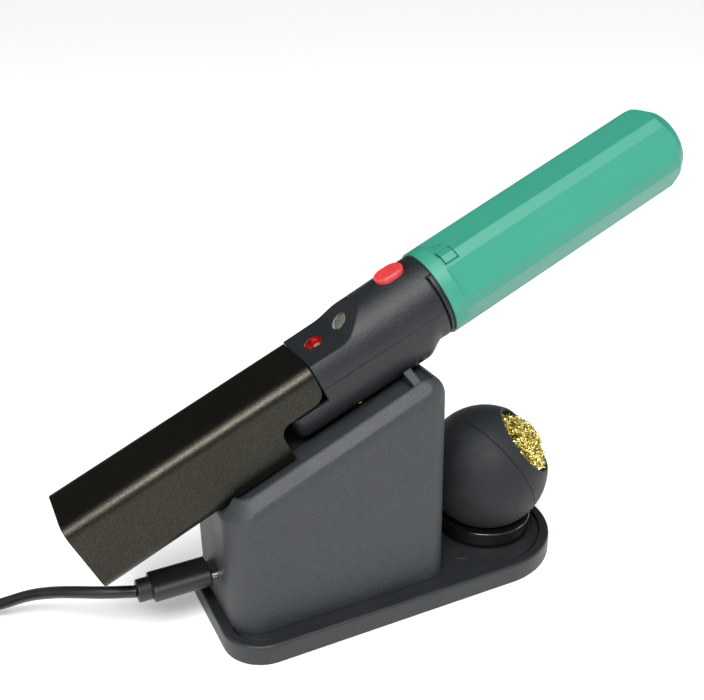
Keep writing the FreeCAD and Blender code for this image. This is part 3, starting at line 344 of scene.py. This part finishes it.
FINISHES = {
    BASE: ["base_tray", "bottom_cover"],
    STAND: ["stand_body"],
    GUARD: ["guard"],
    HOUSING: ["housing_upper", "housing_lower", "collar_ring"],
    SLEEVE: ["battery_sleeve", "sleeve_latch"],
    BALL: ["ball_lower", "ball_cap"],
    RING: ["seat_ring"],
    BUTTON: ["power_button"],
    LAMP: ["status_led"],
    LENS: ["work_light"],
    BOARD: ["charge_board", "control_board"],
    DARK: ["board_posts", "socket_tongue", "contact_block", "heater_nose", "tact_switch",
           "battery_carrier", "charger_tongue"],
    PLUG: ["plug_grip", "plug_relief", "charger_relief", "charger_grip"],
    FOOT: ["rubber_feet"],
    STEEL: ["charge_socket", "plug_shell", "charger_shell", "contact_spring"],
    SCREW: ["base_screws", "guard_screws", "board_screws", "housing_screws", "ring_pin"],
    NUT: ["tip_nut", "heater_core"],
    TIP: ["soldering_tip"],
    BALLAST: ["ballast_plate"],
    GOLD: ["contact_pins", "charge_pads", "contact_plate"],
    WIRE: ["inner_wires"],
    CELL: ["battery_cell"],
}
for material, names in FINISHES.items():
    for node_name in names:
        mesh = NODES[node_name].data
        mesh.materials.clear()
        mesh.materials.append(material)


# ---------------------------------------------------------------- charging lead

def smooth_step(x):
    return x * x * (3 - 2 * x)


def coil_point(turns):
    """The cord's place in the coil after so many turns, in millimetres."""
    for (t0, r0, z0), (t1, r1, z1) in zip(COIL_PLAN_MM, COIL_PLAN_MM[1:]):
        if turns <= t1:
            break
    share = smooth_step((turns - t0) / (t1 - t0))
    radius, height = r0 + (r1 - r0) * share, z0 + (z1 - z0) * share
    angle = math.radians(COIL_START_DEG) + 2 * math.pi * turns
    return (COIL_CENTRE_MM[0] + radius * math.cos(angle), COIL_CENTRE_MM[1] + radius * math.sin(angle),
            height)


def cord_points():
    last_turn = COIL_PLAN_MM[-1][0]
    steps = round(last_turn * COIL_STEPS)
    coil = [coil_point(last_turn * i / steps) for i in range(1, steps + 1)]
    return [Vector(p) * MM for p in LEAD_POINTS_MM + coil + TAIL_POINTS_MM]


def make_cord():
    curve = bpy.data.curves.new("charging_lead", "CURVE")
    curve.dimensions = "3D"
    spline = curve.splines.new("NURBS")
    points = cord_points()
    spline.points.add(len(points) - 1)
    for point, place in zip(spline.points, points):
        point.co = (*place, 1.0)
    spline.order_u = 3
    spline.use_endpoint_u = True
    spline.resolution_u = 6
    curve.bevel_depth = CORD_D / 2
    curve.bevel_resolution = 5
    curve.use_fill_caps = True
    cord = bpy.data.objects.new("charging_lead", curve)
    bpy.context.scene.collection.objects.link(cord)
    curve.materials.append(CABLE)
    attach(cord, "lead")
    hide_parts("charging_cord", "cord_coil", "cord_tail")


make_cord()
NODES["cord_tie"].data.materials.clear()
NODES["cord_tie"].data.materials.append(DARK)


# ---------------------------------------------------------------- brass wool

def wool_reach(out):
    """How far the wool reaches from the ball's middle: a ball, swollen inside the mouth."""
    facing = out.dot(MOUTH_AXIS)
    if facing < MOUTH_COSINE:
        return WOOL_R
    return SWELL_SHIFT * facing + math.sqrt(SWELL_R ** 2 - SWELL_SHIFT ** 2 * (1 - facing ** 2))


def near_mouth(rng):
    """A direction in the part of the wool that the mouth shows."""
    cosine, around = 1 - rng.random() * MOUTH_SPREAD, rng.random() * 2 * math.pi
    side = MOUTH_AXIS.orthogonal().normalized()
    other, sine = MOUTH_AXIS.cross(side), math.sqrt(1 - cosine * cosine)
    return MOUTH_AXIS * cosine + side * (sine * math.cos(around)) + other * (sine * math.sin(around))


def anywhere(rng):
    return Vector((rng.gauss(0, 1), rng.gauss(0, 1), rng.gauss(0, 1))).normalized()


def add_curl(curve, rng, out):
    """One springy ribbon, lying across the direction out."""
    along = out.cross(anywhere(rng)).normalized()
    across = out.cross(along)
    curl, pitch, turns = rng.uniform(0.8, 1.7) * MM, rng.uniform(0.7, 1.5) * MM, rng.uniform(1.6, 3.4)
    depth = wool_reach(out) - curl - rng.uniform(0.1, 2.4) * MM
    steps = int(turns * STEPS_PER_CURL)
    spline = curve.splines.new("POLY")
    spline.points.add(steps)
    bend = rng.uniform(-0.5, 0.5)
    for j in range(steps + 1):
        a = 2 * math.pi * turns * j / steps
        run = pitch * turns * (j / steps - 0.5)
        place = out * (depth + curl * math.cos(a)) + across * (curl * math.sin(a) + bend * run) + along * run
        reach = wool_reach(place.normalized())
        if place.length > reach:
            place = place * (reach / place.length)
        spline.points[j].co = (*(BALL_CENTRE + place), 1.0)
        spline.points[j].tilt = rng.uniform(-0.2, 0.2) + a * 0.15


def wool_ball():
    """Curled brass ribbons packed into a ball, thickest in the ball's mouth."""
    rng = random.Random(7)
    curve = bpy.data.curves.new("brass_curls", "CURVE")
    curve.dimensions = "3D"
    curve.extrude = RIBBON_HALF_WIDTH
    curve.bevel_depth = RIBBON_HALF_THICKNESS
    curve.bevel_resolution = 0
    for i in range(CURLS):
        add_curl(curve, rng, anywhere(rng) if i % 4 == 0 else near_mouth(rng))
    wool = bpy.data.objects.new("brass_curls", curve)
    bpy.context.scene.collection.objects.link(wool)
    curve.materials.append(BRASS)
    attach(wool, "cap")
    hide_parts("brass_wool")


wool_ball()


# ---------------------------------------------------------------- floor, lights and camera

def make_floor():
    mesh = bpy.data.meshes.new("floor")
    corners = [(x * FLOOR_HALF, y * FLOOR_HALF, 0) for x, y in ((-1, -1), (1, -1), (1, 1), (-1, 1))]
    mesh.from_pydata(corners, [], [(0, 1, 2, 3)])
    floor = bpy.data.objects.new("floor", mesh)
    bpy.context.scene.collection.objects.link(floor)
    mesh.materials.append(paper_floor())


def add_light(kind, name, place, target, energy, size=None, **settings):
    data = bpy.data.lights.new(name, kind)
    data.energy = energy
    if size:
        data.shape, data.size, data.size_y = "RECTANGLE", size[0], size[1]
    for key, value in settings.items():
        setattr(data, key, value)
    light = bpy.data.objects.new(name, data)
    bpy.context.scene.collection.objects.link(light)
    light.location = place
    light.rotation_euler = (Vector(target) - Vector(place)).to_track_quat("-Z", "Y").to_euler()


def make_lights():
    add_light("SUN", "sky_sheet", (-0.18, -0.40, 1.0), LIGHT_TARGET, 1.95, angle=math.radians(50))
    add_light("AREA", "top_softbox", (-0.36, -0.55, 0.82), LIGHT_TARGET, 8.0, (0.45, 0.3))
    add_light("AREA", "left_softbox", (-0.9, -0.1, 0.45), LIGHT_TARGET, 1.2, (0.4, 0.5))
    add_light("AREA", "right_softbox", (0.8, -0.35, 0.4), LIGHT_TARGET, 1.4, (0.3, 0.4))


def make_surroundings():
    """A pale studio in front that falls off to a dark one behind, as the tops of the object show."""
    world = bpy.data.worlds.new("studio")
    bpy.context.scene.world = world
    world.use_nodes = True
    tree = world.node_tree
    facing = tree.nodes.new("ShaderNodeSeparateXYZ")
    tree.links.new(tree.nodes.new("ShaderNodeTexCoord").outputs["Generated"], facing.inputs["Vector"])
    fall = tree.nodes.new("ShaderNodeMapRange")
    fall.inputs["From Min"].default_value, fall.inputs["From Max"].default_value = WORLD_FALL
    fall.inputs["To Min"].default_value, fall.inputs["To Max"].default_value = WORLD_SHADES
    tree.links.new(facing.outputs["Y"], fall.inputs["Value"])
    tree.links.new(fall.outputs["Result"], tree.nodes["Background"].inputs["Color"])
    tree.nodes["Background"].inputs["Strength"].default_value = WORLD_STRENGTH


def make_camera():
    data = bpy.data.cameras.new("camera")
    data.lens, data.sensor_width = LENS_MM, SENSOR_MM
    data.clip_start, data.clip_end = 0.01, 20.0
    camera = bpy.data.objects.new("camera", data)
    bpy.context.scene.collection.objects.link(camera)
    tilt = Euler((math.radians(90 - CAMERA_ELEVATION), 0, math.radians(CAMERA_AZIMUTH)))
    turn = tilt.to_matrix() @ Matrix.Rotation(math.radians(CAMERA_ROLL), 3, "Z")
    camera.matrix_world = Matrix.Translation(CAMERA_PLACE) @ turn.to_4x4()
    bpy.context.scene.camera = camera


make_floor()
make_lights()
make_surroundings()
make_camera()
bpy.context.scene.view_settings.view_transform = "Standard"
